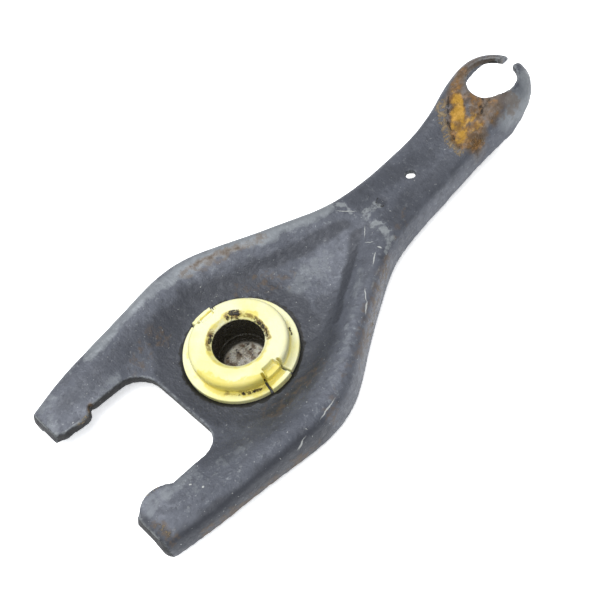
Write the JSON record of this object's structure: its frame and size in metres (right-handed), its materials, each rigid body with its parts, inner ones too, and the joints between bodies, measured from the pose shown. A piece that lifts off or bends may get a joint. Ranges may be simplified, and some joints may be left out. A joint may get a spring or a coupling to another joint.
{
  "type": "clutch fork",
  "caption": "Pressed steel clutch release fork with a slotted fork end, a nylon ball-socket bush in its dished body and an open cable eye.",
  "frame": {"origin": "on the axis of the pivot bush, at the face of the web that the bush's flange sits on", "axes": "+X along the fork to the cable eye, +Z out of the open side of the bush, +Y across the fork"},
  "size_m": [0.2005, 0.082, 0.0273],
  "materials": {
    "pressed_steel": "dark phosphated sheet steel, worn and rusted",
    "nylon": "moulded natural nylon, yellowed and greasy"
  },
  "bodies": {
    "root": {"fork_pressing": "pressed_steel", "pivot_bush": "nylon"}
  },
  "joints": []
}
